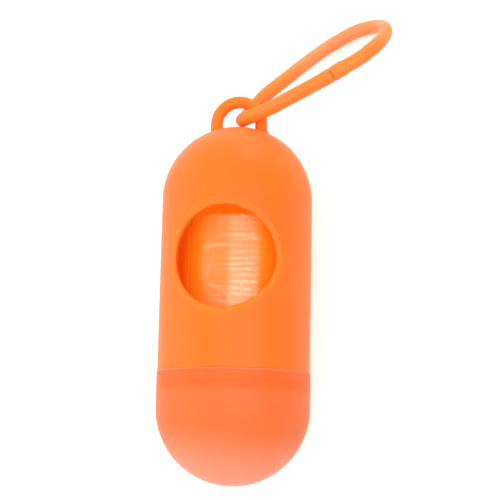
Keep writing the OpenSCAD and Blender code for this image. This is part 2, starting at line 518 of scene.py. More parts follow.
def turns(count):
    """Angles of a full turn in equal steps, with the last one back at the first."""
    return [FULL_TURN * i / count for i in range(count + 1)]


def mix(low, high, share):
    """A number between two others: low at share 0, high at share 1."""
    return low + (high - low) * share


def arc(centre_y, centre_r, radius, start, end, steps):
    """Points of a profile on an arc. Angles are in degrees, from the way out from the axis towards +Y."""
    angles = [math.radians(mix(start, end, i / steps)) for i in range(steps + 1)]
    return [(centre_y + radius * math.sin(a), centre_r + radius * math.cos(a)) for a in angles]


def line(start, end, steps):
    """Points of a profile on a straight line."""
    return [(mix(start[0], end[0], i / steps), mix(start[1], end[1], i / steps)) for i in range(steps + 1)]


def on_capsule(radius, turn, y):
    """A point at that distance from the capsule's axis. The turn is 0 on top and grows towards +X."""
    return Vector((radius * math.sin(turn), y, AXIS_Z + radius * math.cos(turn)))


def lathe(skin, profile, steps):
    """Turns a profile of places along the capsule and radii round the capsule's axis."""
    skin.add([[on_capsule(radius, turn, y) for turn in steps] for y, radius in profile])


def sweep(skin, path, radii, sides):
    """A round tube along a path, with a radius at each of its points, closed at both ends."""
    ways = [(path[min(i + 1, len(path) - 1)] - path[max(i - 1, 0)]).normalized() for i in range(len(path))]
    across = ways[0].orthogonal().normalized()
    rows = []
    for place, way, radius in zip(path, ways, radii):
        across = (across - way * across.dot(way)).normalized()
        up = way.cross(across)
        rows.append([place + radius * (math.cos(a) * across + math.sin(a) * up) for a in turns(sides)])
    rows = [[path[0]] * (sides + 1), *rows, [path[-1]] * (sides + 1)]
    along = [0.0]
    for before, after in zip(path, path[1:]):
        along.append(along[-1] + (after - before).length)
    skin.add(rows, along=[0.0, *along, along[-1]])


def geometry_tree(name, inputs):
    """A new geometry tree with one named input for each size, and its values by name."""
    tree = bpy.data.node_groups.new(name, "GeometryNodeTree")
    tree.is_modifier = True
    kinds = {float: "NodeSocketFloat", int: "NodeSocketInt"}
    tree.interface.new_socket("Geometry", in_out="INPUT", socket_type="NodeSocketGeometry")
    for label, default in inputs.items():
        socket = tree.interface.new_socket(label, in_out="INPUT", socket_type=kinds[type(default)])
        socket.default_value = default
    tree.interface.new_socket("Material", in_out="INPUT", socket_type="NodeSocketMaterial")
    tree.interface.new_socket("Geometry", in_out="OUTPUT", socket_type="NodeSocketGeometry")
    entry = tree.nodes.new("NodeGroupInput")
    return tree, {socket.name: Value(tree, socket) for socket in entry.outputs if socket.name}


def bent_grid(tree, given, across, along, rule):
    """Ends a tree with a grid whose points rule moves, closed where its edges meet.

    rule takes the two shares of a point's place on the grid, from 0 to 1, and returns its x, y and z."""
    grid = tree.nodes.new("GeometryNodeMeshGrid")
    grid.inputs["Vertices X"].default_value = across
    grid.inputs["Vertices Y"].default_value = along
    place = tree.nodes.new("GeometryNodeInputPosition")
    x, y, _ = separate(tree, place.outputs[0])
    move = tree.nodes.new("GeometryNodeSetPosition")
    merge = tree.nodes.new("GeometryNodeMergeByDistance")
    merge.inputs["Distance"].default_value = WELD
    real = tree.nodes.new("GeometryNodeRealizeInstances")
    paint = tree.nodes.new("GeometryNodeSetMaterial")
    leave = tree.nodes.new("NodeGroupOutput")
    tree.links.new(grid.outputs["Mesh"], move.inputs["Geometry"])
    tree.links.new(combine(tree, *rule(x + 0.5, y + 0.5)), move.inputs["Position"])
    tree.links.new(move.outputs[0], merge.inputs["Geometry"])
    tree.links.new(merge.outputs[0], real.inputs["Geometry"])
    tree.links.new(real.outputs[0], paint.inputs["Geometry"])
    connect(tree, paint.inputs["Material"], given["Material"])
    tree.links.new(paint.outputs[0], leave.inputs[0])
    return tree


def grown(tree, name, material, values):
    """The plain mesh that a geometry tree makes with those values."""
    holder = bpy.data.objects.new(name, bpy.data.meshes.new(name))
    bpy.context.scene.collection.objects.link(holder)
    modifier = holder.modifiers.new(tree.name, "NODES")
    modifier.node_group = tree
    values = {**values, "Material": material}
    for item in tree.interface.items_tree:
        if item.in_out == "INPUT" and item.name in values:
            modifier[item.identifier] = values.pop(item.name)
    if values:
        raise ValueError(f"{tree.name} has no input named {sorted(values)}")
    graph = bpy.context.evaluated_depsgraph_get()
    mesh = bpy.data.meshes.new_from_object(holder.evaluated_get(graph), depsgraph=graph)
    bpy.data.objects.remove(holder)
    return mesh


def thread_tree():
    """The tree of one thread ridge: it climbs round a wall, and fades into it at both ends."""
    tree, given = geometry_tree("Thread ridge", {
        "Wall radius": 16.8 * MM,
        "Side": 1.0,
        "Ridge height": 0.45 * MM,
        "Ridge width": 1 * MM,
        "Rise per turn": 3 * MM,
        "Turns": 1.1,
        "Start turn": 0.0,
        "Start place": 0.0,
        "Axis height": AXIS_Z,
    })
    fade_share = 1 / 12
    sunk = 0.15 * MM
    columns, rows = 145, 17

    def rule(along, around):
        climbed = along * given["Turns"]
        turn = given["Start turn"] + climbed * FULL_TURN
        rising = ramp(climbed, 0.0, fade_share)
        falling = ramp(given["Turns"] - climbed, 0.0, fade_share)
        shown = rising.math("MINIMUM", falling)
        closed = ramp(shown, 0.0, 0.2)
        swing = (around * FULL_TURN).math("SINE")
        top = swing.math("MAXIMUM", 0.0).math("POWER", 0.5) * (given["Ridge height"] + sunk / 2) * shown
        bottom = (-swing).math("MAXIMUM", 0.0) * sunk / 2 * closed
        radius = given["Wall radius"] + given["Side"] * (top - bottom - sunk / 2)
        aside = (around * FULL_TURN).math("COSINE") * given["Ridge width"] / 2 * closed
        y = given["Start place"] + climbed * given["Rise per turn"] + aside
        return radius * turn.math("SINE"), y, given["Axis height"] + radius * turn.math("COSINE")

    return bent_grid(tree, given, columns, rows, rule)


def film_relief(tree, given, turn, y):
    """How far the stretched film's ridges stand up at a place on the roll, from 0 to the ridge height."""
    place = combine(tree, turn.math("SINE") * RIDGE_R, y, turn.math("COSINE") * RIDGE_R + given["Seed"])
    wobble = noise(tree, place, 140.0) * 1.1
    slant = turn.math("SINE") * ramp(y, 26 * MM, 38 * MM, 1.6, 0.0)
    crest = ((y / given["Ridge spacing"] + wobble + slant) * FULL_TURN).math("COSINE") * 0.5 + 0.5
    patchy = ramp(noise(tree, place, 420.0), 0.36, 0.62, 0.1, 1.0)
    near_top = ramp((turn - given["Tight turn"]).math("COSINE"), 0.86, 0.97, 0.15, 1.0)
    near_top = near_top * ramp(y, 36 * MM, 47 * MM, 1.0, 0.4)
    return crest.math("POWER", 1.6) * patchy * near_top * given["Ridge height"]


def wound_film_tree():
    """The tree of the wound film: ridged outside, with the edges of its turns uneven at both ends."""
    tree, given = geometry_tree("Wound film", {
        "Core radius": 5.55 * MM,
        "Film radius": 13.6 * MM,
        "Length": 51.5 * MM,
        "Ridge spacing": 1.4 * MM,
        "Ridge height": 0.1 * MM,
        "Turn spacing": 0.8 * MM,
        "Uneven ends": 0.12 * MM,
        "Tight turn": TIGHT_TURN,
        "Seed": 4,
        "End place": 0.0,
        "Axis height": ROLL_Z,
    })
    columns, face_rows, side_rows = 181, 56, 220
    rows = 2 * face_rows + side_rows + 1
    face = face_rows / (rows - 1)
    bore = (rows - 1) / rows

    def rule(around, across):
        turn = around * FULL_TURN
        shown = ramp(across, 0.0, bore)
        out = ramp(shown, 0.0, face).math("MINIMUM", ramp(shown, 1 - face, 1.0, 1.0, 0.0))
        side = ramp(shown, face, 1 - face)
        back = ramp(across, bore, 1.0)
        radius = given["Core radius"] + (given["Film radius"] - given["Core radius"]) * out
        y = given["Length"] * (side - back)
        on_side = ramp(side, 0.0, 0.01).math("MINIMUM", ramp(side, 0.99, 1.0, 1.0, 0.0))
        relief = film_relief(tree, given, turn, y) * on_side
        wound = (radius - given["Core radius"]) / given["Turn spacing"] - around
        round_roll = turn.math("SINE") * 0.8, turn.math("COSINE") * 0.8
        loose = noise(tree, combine(tree, wound * 0.9, *round_roll), 1.3)
        step = (wound * FULL_TURN).math("SINE") * 0.4 + loose * 1.2 - 0.6
        on_face = ramp(out, 0.0, 0.05) * ramp(out, 0.97, 1.0, 1.0, 0.0)
        inwards = ramp(side, 0.0, 1.0, 1.0, -1.0)
        y = y + (step + 1) * given["Uneven ends"] / 2 * on_face * inwards
        radius = radius + relief
        x = radius * turn.math("SINE")
        return x, given["End place"] + y, given["Axis height"] + radius * turn.math("COSINE")

    return bent_grid(tree, given, columns, rows + 1, rule)


def first_bag_tree():
    """The tree of the first bag's turn: a thin ridged sheet round the roll, torn off aslant at one end."""
    tree, given = geometry_tree("First bag", {
        "Inner radius": 13.72 * MM,
        "Film thickness": 0.12 * MM,
        "Lift": 0.1 * MM,
        "Length": 51.5 * MM,
        "Ridge spacing": 1.4 * MM,
        "Ridge height": 0.1 * MM,
        "Tight turn": TIGHT_TURN,
        "Seed": 4,
        "Last turn": 5.4,
        "End place": 0.0,
        "Axis height": ROLL_Z,
    })
    columns, rows = 221, 440

    def rule(around, across):
        outside = ramp(across, 0.0, 0.5)
        inside = ramp(across, 0.5, 1.0)
        y = given["Length"] * (outside - inside)
        torn = torn_edge(given["End place"] + y)
        turn = torn + (given["Last turn"] - torn) * around
        is_outer = ramp(across, 0.4999, 0.5001, 1.0, 0.0)
        skin = is_outer * ramp(around, 0.0, 0.006) * ramp(around, 0.994, 1.0, 1.0, 0.0)
        closing = ramp(side_share(across), 0.0, 0.004)
        lifted = ramp(around, 0.0, 0.02, 1.0, 0.0, smooth=True) * given["Lift"]
        radius = given["Inner radius"] + film_relief(tree, given, turn, y) + lifted
        radius = radius + given["Film thickness"] * skin * closing
        x = radius * turn.math("SINE")
        return x, given["End place"] + y, given["Axis height"] + radius * turn.math("COSINE")

    return bent_grid(tree, given, columns, rows + 1, rule)


def side_share(across):
    """0 at the two ends of the roll, on the outer and the inner side of a sheet, and 1 halfway along it."""
    back_and_forth = (across * 2).math("FRACT")
    return back_and_forth.math("MINIMUM", 1 - back_and_forth) * 2


# The first bag's torn end, in millimetres: places along the capsule, and how far right of the top it is
TEAR = [(-35.7, 14.0), (-12.0, 10.6), (-6.4, 5.2), (-0.9, -5.4), (4.1, -3.8), (15.8, -2.4)]


def torn_edge(y):
    """The turn at which the first bag's torn end lies, for a place along the capsule."""
    tear = [(place * MM, math.asin(min(1, aside * MM / ROLL_R))) for place, aside in TEAR]
    edge = tear[0][1]
    for (y0, turn0), (y1, turn1) in zip(tear, tear[1:]):
        edge = edge + ramp(y, y0, y1, 0.0, turn1 - turn0)
    return edge


def window_place(sizes):
    """Where the window's centre is along the capsule."""
    return CAP_CENTRE_Y + sizes.straight_len - sizes.window_drop


def rim_point(sizes, angle, share):
    """A point of the window's rounded rim: share is 0 on the hole's wall and 1 on the body's surface."""
    last = math.radians(60)
    hole_r = sizes.window_d / 2
    slope = math.sqrt(1 - (hole_r * math.cos(angle) / BODY_R) ** 2)
    radius = hole_r + sizes.rim_w * slope * (1 - math.cos(last * share)) / (1 - math.cos(last))
    depth = sizes.rim_depth * (1 - math.sin(last * share) / math.sin(last))
    x = radius * math.cos(angle)
    y = window_place(sizes) + radius * math.sin(angle)
    return Vector((x, y, AXIS_Z + math.sqrt(BODY_R**2 - x * x) - depth))


def square_points(cells):
    """Points in equal steps round a square from -1 to 1, and back to the first."""
    steps = [2 * i / cells - 1 for i in range(cells)]
    front, right = [(s, -1) for s in steps], [(1, s) for s in steps]
    back, left = [(-s, 1) for s in steps], [(-1, -s) for s in steps]
    return front + right + back + left + [(-1, -1)]


def surface_ring(sizes, radius, hole_r, square, half_turn, half_len, share):
    """A ring on one of the body's surfaces: the window's edge at share 0, a square round it at share 1."""
    ring = []
    for u, v in square:
        angle = math.atan2(v, u)
        edge = hole_r(angle)
        turn = mix(math.asin(edge * math.cos(angle) / radius), u * half_turn, share)
        y = mix(edge * math.sin(angle), v * half_len, share)
        ring.append(on_capsule(radius, turn, window_place(sizes) + y))
    return ring


def add_window(skin, sizes, square, half_turn, half_len):
    """The body's wall round the window: both surfaces, the wall of the hole and its rounded rim."""
    bore_r = BODY_R - sizes.body_wall
    hole_r = sizes.window_d / 2
    inner_round = 0.15 * MM
    angles = [math.atan2(v, u) for u, v in square]

    # Shares of the way out at which both surfaces have a ring, closer together at the window
    spread = (0.02, 0.06, 0.13, 0.23, 0.37, 0.56, 0.77, 1.0)

    def inner_ring(share):
        edge_r = hole_r + inner_round
        return surface_ring(sizes, bore_r, lambda angle: edge_r, square, half_turn, half_len, share)

    def rim_edge(angle):
        point = rim_point(sizes, angle, 1)
        return math.hypot(point.x, point.y - window_place(sizes))

    def outer_ring(share):
        return surface_ring(sizes, BODY_R, rim_edge, square, half_turn, half_len, share)

    wall = []
    for share in (0.0, 0.5, 1.0):
        ring = []
        for a in angles:
            top = rim_point(sizes, a, 0)
            low = AXIS_Z + math.sqrt(bore_r**2 - top.x**2) + inner_round
            ring.append(Vector((top.x, top.y, mix(low, top.z, share))))
        wall.append(ring)
    rim_steps = 12
    rim = [[rim_point(sizes, a, i / rim_steps) for a in angles] for i in range(1, rim_steps)]
    skin.add(
        [inner_ring(share) for share in reversed(spread)] + [inner_ring(0)] + wall + rim
        + [outer_ring(0)] + [outer_ring(share) for share in spread]
    )


def add_shell(skin, sizes, thread):
    """The body's moulding: round end, tube with the window, shoulder and neck."""
    columns, cells = 160, 50
    bore_r = BODY_R - sizes.body_wall
    neck_r = bore_r + thread.neck_wall
    dome_y = CAP_CENTRE_Y + sizes.straight_len
    shoulder_y = SEAM_Y + sizes.seam_gap
    half_turn = FULL_TURN * cells / columns / 2
    half_len = 15.6 * MM
    low_y, high_y = window_place(sizes) - half_len, window_place(sizes) + half_len
    edge = sizes.edge_round
    lower = (
        line((low_y, bore_r), (BODY_END_Y, bore_r), 10)
        + line((BODY_END_Y, neck_r - thread.neck_edge), (BODY_END_Y + thread.neck_edge, neck_r), 1)
        + line((shoulder_y, neck_r), (shoulder_y, BODY_R - edge), 1)
        + arc(shoulder_y + edge, BODY_R - edge, edge, -90, 0, 5)
        + line((shoulder_y + 3 * edge, BODY_R), (low_y, BODY_R), 8)
    )
    around = turns(columns)
    beside = around[cells // 2: columns - cells // 2 + 1]
    lathe(skin, lower, around)
    for radius in (BODY_R, bore_r):
        lathe(skin, line((low_y, radius), (high_y, radius), cells), beside)
        lathe(skin, [(high_y, radius)] + arc(dome_y, 0, radius, 0, 90, 44), around)
    add_window(skin, sizes, square_points(cells), half_turn, half_len)


def add_eyelet(skin, sizes):
    """The eyelet's arch and its two legs, sunk into the round end."""
    bar_r = sizes.eye_bar_d / 2
    eye_y = BODY_HIGH.y - bar_r - sizes.eye_r
    dome_y = CAP_CENTRE_Y + sizes.straight_len
    surface_y = dome_y + math.sqrt(BODY_R**2 - sizes.eye_r**2)
    root_y = surface_y - sizes.body_wall / 2
    leg = [(root_y, bar_r + sizes.eye_fillet), (surface_y - sizes.eye_fillet, bar_r + sizes.eye_fillet)]
    steps = 8
    for i in range(steps + 1):
        angle = QUARTER_TURN * i / steps
        spread = sizes.eye_fillet * (1 - math.sin(angle))
        rise = 2 * sizes.eye_fillet * (1 - math.cos(angle))
        leg.append((surface_y - 0.3 * sizes.eye_fillet + rise, bar_r + spread))
    path, radii = [], []
    for y, radius in leg:
        path.append(Vector((-sizes.eye_r, y, AXIS_Z)))
        radii.append(radius)
    arch_steps = 40
    for i in range(arch_steps + 1):
        angle = math.pi * i / arch_steps
        path.append(Vector((-sizes.eye_r * math.cos(angle), eye_y + sizes.eye_r * math.sin(angle), AXIS_Z)))
        radii.append(bar_r)
    for y, radius in reversed(leg):
        path.append(Vector((sizes.eye_r, y, AXIS_Z)))
        radii.append(radius)
    sweep(skin, path, radii, 32)


def thread_mesh(name, material, thread, wall_r, side, start_turn, length):
    """One ridge of the thread. side is 1 on the outside of a wall and -1 on its inside."""
    return grown(thread_tree(), name, material, {
        "Wall radius": wall_r,
        "Side": side,
        "Ridge height": thread.ridge_h,
        "Ridge width": thread.ridge_w,
        "Rise per turn": thread.turn_height,
        "Turns": length / thread.turn_height,
        "Start turn": start_turn,
        "Start place": BODY_END_Y + thread.margin + thread.ridge_w / 2,
        "Axis height": AXIS_Z,
    })


class BuildBody(bpy.types.Operator):
    """Builds the body: round end, tube with its window, threaded neck and eyelet"""

    bl_idname = "dispenser.build_body"
    bl_label = "Body"

    def execute(self, context):
        sizes, thread = context.scene.dispenser_capsule, context.scene.dispenser_thread
        material = body_plastic(context.scene.dispenser_finish, sizes)
        skin = Skin()
        add_shell(skin, sizes, thread)
        shell = tidied(skin.mesh("body_shell"))
        skin = Skin()
        add_eyelet(skin, sizes)
        eyelet = tidied(skin.mesh("eyelet"))
        neck_r = BODY_R - sizes.body_wall + thread.neck_wall
        neck_len = SEAM_Y + sizes.seam_gap - BODY_END_Y
        length = neck_len - thread.ridge_w - 2 * thread.margin
        ridge = tidied(thread_mesh("neck_thread", material, thread, neck_r, 1.0, QUARTER_TURN, length))
        whole = joined("capsule_body", [shell, eyelet, ridge])
        show("capsule_body", whole, material, "shell", "body_plastic", "dispenser_body")
        return {"FINISHED"}


class BuildCap(bpy.types.Operator):
    """Builds the screw cap: round end, skirt, rim and internal thread"""

    bl_idname = "dispenser.build_cap"
    bl_label = "Screw cap"

    def execute(self, context):
        sizes, thread = context.scene.dispenser_capsule, context.scene.dispenser_thread
        material = cap_plastic(context.scene.dispenser_finish, sizes, thread)
        neck_r = BODY_R - sizes.body_wall + thread.neck_wall
        root_r = neck_r + thread.ridge_h + thread.play
        inner_r = CAP_R - sizes.cap_wall
        edge = sizes.edge_round
        inner_edge = edge / 2
        relief_y = BODY_END_Y - thread.relief_below
        profile = (
            arc(CAP_CENTRE_Y, 0, CAP_R, -90, 0, 44)
            + line((CAP_CENTRE_Y + 1 * MM, CAP_R), (SEAM_Y - 3 * edge, CAP_R), 6)
            + arc(SEAM_Y - edge, CAP_R - edge, edge, 0, 90, 5)
            + arc(SEAM_Y - inner_edge, root_r + inner_edge, inner_edge, 90, 180, 3)
            + line((SEAM_Y - 3 * edge, root_r), (relief_y, root_r), 6)
            + line((relief_y - (root_r - inner_r), inner_r), (CAP_CENTRE_Y, inner_r), 3)
            + arc(CAP_CENTRE_Y, 0, inner_r, 0, -90, 44)
        )
        skin = Skin()
        lathe(skin, profile, turns(160))
        shell = tidied(skin.mesh("cap_shell"))
        neck_len = SEAM_Y + sizes.seam_gap - BODY_END_Y
        length = neck_len - thread.ridge_w - 2 * thread.margin - sizes.seam_gap
        ridge = tidied(thread_mesh("cap_thread", material, thread, root_r, -1.0, -QUARTER_TURN, length))
        show("screw_cap", joined("screw_cap", [shell, ridge]), material, "cap", "cap_plastic", "end_cap")
        return {"FINISHED"}


class BuildRoll(bpy.types.Operator):
    """Builds the roll of bags: the wound film, the first bag's turn round it, and the card core's finish"""

    bl_idname = "dispenser.build_roll"
    bl_label = "Roll of bags"

    def execute(self, context):
        sizes = context.scene.dispenser_roll
        finishes = context.scene.dispenser_finish
        film = bag_film(finishes, sizes)
        shared = {
            "Length": ROLL_LEN,
            "Ridge spacing": sizes.ridge_step,
            "Ridge height": sizes.ridge_h,
            "Seed": sizes.seed,
            "End place": WEB_LOW.y,
            "Axis height": ROLL_Z,
        }
        wound = grown(wound_film_tree(), "wound_film", film, {
            **shared,
            "Core radius": CORE_HIGH.x + sizes.core_play,
            "Film radius": WEB_HIGH.x - sizes.ridge_h,
            "Turn spacing": sizes.turn_step,
            "Uneven ends": sizes.uneven,
        })
        show("wound_film", tidied(wound, 60), film, "roll", "bag_film", "bag_roll")
        sheet = grown(first_bag_tree(), "first_bag_turn", film, {
            **shared,
            "Inner radius": WEB_HIGH.x + 0.03 * MM,
            "Film thickness": sizes.film_t,
            "Last turn": BAG_END_TURN,
        })
        show("first_bag_turn", tidied(sheet, 60), film, "roll", "bag_film", "first_bag")
        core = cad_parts["roll_core"]
        for slot in core.material_slots:
            slot.material = core_card(finishes)
        return {"FINISHED"}


# Where the plug-in joint is, from the eyelet's centre, and the radius of the plug's and the socket's edges
JOINT_PLACE = Vector((23.5, 10.7, 4.2)) * MM
JOINT_EDGE = 0.25 * MM

# The strap's route from the eyelet's centre, in millimetres: from the socket round the far bend, back along
# the surface it lies on, through the eyelet and along the upper strand to the plug
STRAP_ROUTE = [
    (29, 13.8, 4.2), (31, 15.1, 4.1), (32.8, 16.8, 3.4), (34.3, 18.7, 1.8), (35.3, 21, -1),
    (35.8, 23.6, -4.6), (35.6, 26, -8.4), (34.7, 28, -12), (33, 29.2, -14.8), (30.8, 29.5, -16.3),
    (28.5, 29.1, -16.7), (26.2, 28.2, -16.7), (24, 27, -16.7), (21.8, 25.6, -16.4),
    (19.6, 23.8, -15.4), (17.3, 21.5, -13.7), (15.1, 19, -11.7), (13, 16.5, -9.6), (11, 14.1, -7.7),
    (9.1, 12, -6.2), (7.3, 10.1, -5.1), (5.4, 8.1, -4.3), (3.9, 6.3, -3.9), (2.6, 4.6, -3.6),
    (1.6, 3, -3), (1, 1.7, -1.7), (0.9, 1, 0), (1.6, 0.8, 1.7), (3, 0.9, 3), (4.9, 1.4, 3.6),
    (6.8, 2.1, 3.8), (8.7, 3, 3.8), (10.6, 3.9, 3.8), (12.5, 4.9, 3.9), (14.5, 5.9, 4),
    (16.5, 6.9, 4.1), (18.5, 7.9, 4.2),
]


def smooth_path(points, steps):
    """A smooth curve through points, with that many steps between each two."""
    ends = [points[0] * 2 - points[1], *points, points[-1] * 2 - points[-2]]
    path = []
    for before, start, end, after in zip(ends, ends[1:], ends[2:], ends[3:]):
        for i in range(steps):
            t = i / steps
            path.append(
                0.5 * (2 * start + (end - before) * t + (2 * before - 5 * start + 4 * end - after) * t * t
                       + (3 * start - before - 3 * end + after) * t * t * t)
            )
    return path + [points[-1]]


def lathe_along(skin, place, way, profile, sides=40):
    """Turns a profile of distances along a direction and radii about the line through a place."""
    across = way.orthogonal().normalized()
    up = way.cross(across)
    skin.add([
        [place + way * far + radius * (math.cos(a) * across + math.sin(a) * up) for a in turns(sides)]
        for far, radius in profile
    ])


def bead_profile(centre, bead_r, pin_r, steps=8):
    """Points of a round bead where it stands out of a pin or a bore of that radius."""
    reach = math.acos(pin_r / bead_r)
    angles = [mix(-reach, reach, i / steps) for i in range(steps + 1)]
    return [(centre + bead_r * math.sin(a), bead_r * math.cos(a)) for a in angles]


class BuildStrap(bpy.types.Operator):
    """Builds the strap: the cord looped through the eyelet, its plug and its socket"""

    bl_idname = "dispenser.build_strap"
    bl_label = "Strap"

    def execute(self, context):
        sizes, capsule = context.scene.dispenser_strap, context.scene.dispenser_capsule
        rubber = strap_rubber(context.scene.dispenser_finish)
        eye = Vector((0, BODY_HIGH.y - capsule.eye_bar_d / 2 - capsule.eye_r, AXIS_Z))
        joint = eye + JOINT_PLACE
        way = Vector((math.cos(sizes.joint_turn), math.sin(sizes.joint_turn), 0))
        plug = self.plug(sizes, joint, way, rubber)
        socket = self.socket(sizes, joint, way, rubber)
        start = joint + way * (sizes.joint_gap / 2 + sizes.socket_len)
        end = joint - way * (sizes.joint_gap / 2 + sizes.collar_len)
        points = [start, *[eye + Vector(point) * MM for point in STRAP_ROUTE], end]
        path = smooth_path(points, 5)
        skin = Skin()
        sweep(skin, path, [sizes.cord_d / 2] * len(path), 28)
        loop = tidied(skin.mesh("strap_loop"))
        cord = show("strap_loop", loop, rubber, "strap", "strap_rubber", "strap_cord")
        length = sum((b - a).length for a, b in zip(path, path[1:]))
        return {"FINISHED"}

    def plug(self, sizes, joint, way, rubber):
        """The plug: a collar on the cord's end, and a pin with a snap bead."""
        mouth = -sizes.joint_gap / 2
        back = mouth - sizes.collar_len
        tip = sizes.joint_gap / 2 + sizes.pin_reach
        collar_r, pin_r = sizes.collar_d / 2, sizes.pin_d / 2
        edge = JOINT_EDGE
        profile = (
            [(back, 0), (back, sizes.cord_d / 2), (back + 2 * edge, collar_r)]
            + arc(mouth - edge, collar_r - edge, edge, 0, 90, 4)
            + [(mouth, pin_r)]
            + bead_profile(tip - sizes.bead_back, sizes.bead_d / 2, pin_r)
            + arc(tip - edge, pin_r - edge, edge, 0, 90, 4)
            + [(tip, 0)]
        )
        skin = Skin()
        lathe_along(skin, joint, way, profile)
        plug = tidied(skin.mesh("plug_moulding"))
        return show("plug_moulding", plug, rubber, "strap", "strap_rubber", "strap_plug")

    def socket(self, sizes, joint, way, rubber):
        """The socket on the cord's other end, with a groove for the snap bead."""
        mouth = sizes.joint_gap / 2
        back = mouth + sizes.socket_len
        socket_r = sizes.socket_d / 2
        bore_r = sizes.pin_d / 2 + sizes.pin_play
        bottom = mouth + sizes.pin_reach + sizes.pin_play
        edge = JOINT_EDGE
        bead_place = mouth + sizes.pin_reach - sizes.bead_back
        profile = (
            [(bottom, 0), (bottom, bore_r)]
            + list(reversed(bead_profile(bead_place, sizes.bead_d / 2 + sizes.pin_play, bore_r)))
            + [(mouth + edge / 2, bore_r), (mouth, bore_r + edge / 2)]
            + arc(mouth + edge, socket_r - edge, edge, -90, 0, 4)
            + [(back - 4 * edge, socket_r), (back - edge, sizes.cord_d / 2)]
            + [(back, sizes.cord_d / 2), (back, 0)]
        )
        skin = Skin()
        lathe_along(skin, joint, way, profile)
        socket = tidied(skin.mesh("socket_moulding"))
        return show("socket_moulding", socket, rubber, "strap", "strap_rubber", "strap_socket")


def new_material(name):
    """A new node material with a Principled shader, and the piece's own coordinates."""
    material = bpy.data.materials.new(name)
    material.use_nodes = True
    tree = material.node_tree
    shader = tree.nodes["Principled BSDF"]
    coordinates = tree.nodes.new("ShaderNodeTexCoord")
    return material, tree, shader, coordinates


def blend_colours(tree, share, first, second):
    """The first colour where share is 0 and the second where it is 1."""
    node = tree.nodes.new("ShaderNodeMix")
    node.data_type = "RGBA"
    connect(tree, node.inputs["Factor"], share)
    for socket, colour in ((node.inputs[6], first), (node.inputs[7], second)):
        connect(tree, socket, (*colour, 1.0) if not isinstance(colour, bpy.types.NodeSocket) else colour)
    return node.outputs[2]


def bump(tree, shader, height, distance, strength):
    """Raises the surface by a height pattern, with its depth in metres."""
    node = tree.nodes.new("ShaderNodeBump")
    node.inputs["Strength"].default_value = strength
    node.inputs["Distance"].default_value = distance
    connect(tree, node.inputs["Height"], height)
    tree.links.new(node.outputs["Normal"], shader.inputs["Normal"])


def stretched(tree, coordinates, scale):
    """The piece's own coordinates, stretched by a factor along each axis."""
    node = tree.nodes.new("ShaderNodeMapping")
    node.inputs["Scale"].default_value = scale
    tree.links.new(coordinates.outputs["Object"], node.inputs["Vector"])
    return node.outputs[0]


def soften(shader, weight, depth, radius=(1.0, 0.3, 0.1)):
    """Softens shadows on a plastic: depth is how far red light wanders in it."""
    shader.inputs["Subsurface Weight"].default_value = weight
    shader.inputs["Subsurface Radius"].default_value = radius
    shader.inputs["Subsurface Scale"].default_value = depth


def lit_through(tree, shader, tint):
    """Lets light fall through a translucent wall on what is inside. Each face it passes tints it once."""
    path = tree.nodes.new("ShaderNodeLightPath")
    through = tree.nodes.new("ShaderNodeBsdfTransparent")
    both = tree.nodes.new("ShaderNodeMixShader")
    through.inputs["Color"].default_value = (*tint, 1.0)
    tree.links.new(path.outputs["Is Shadow Ray"], both.inputs[0])
    tree.links.new(shader.outputs[0], both.inputs[1])
    tree.links.new(through.outputs[0], both.inputs[2])
    tree.links.new(both.outputs[0], tree.nodes["Material Output"].inputs["Surface"])


def moulded_finish(tree, shader, place, roughness):
    """Satin gloss, soft shadows and a fine moulded grain, as on both of the capsule's mouldings."""
    uneven = 0.08
    patches = noise(tree, place, 300.0, 4.0)
    connect(tree, shader.inputs["Roughness"], ramp(patches, 0.3, 0.7, roughness, roughness + uneven))
    shader.inputs["Specular IOR Level"].default_value = 0.15
    soften(shader, 0.4, 1 * MM)
    bump(tree, shader, noise(tree, place, 2600.0, 3.0), 0.03 * MM, 0.35)


def deeper(colour, factor):
    """A colour of the same hue, more saturated and a little darker."""
    red, green, blue = colour
    return red, green * factor, blue * factor * factor


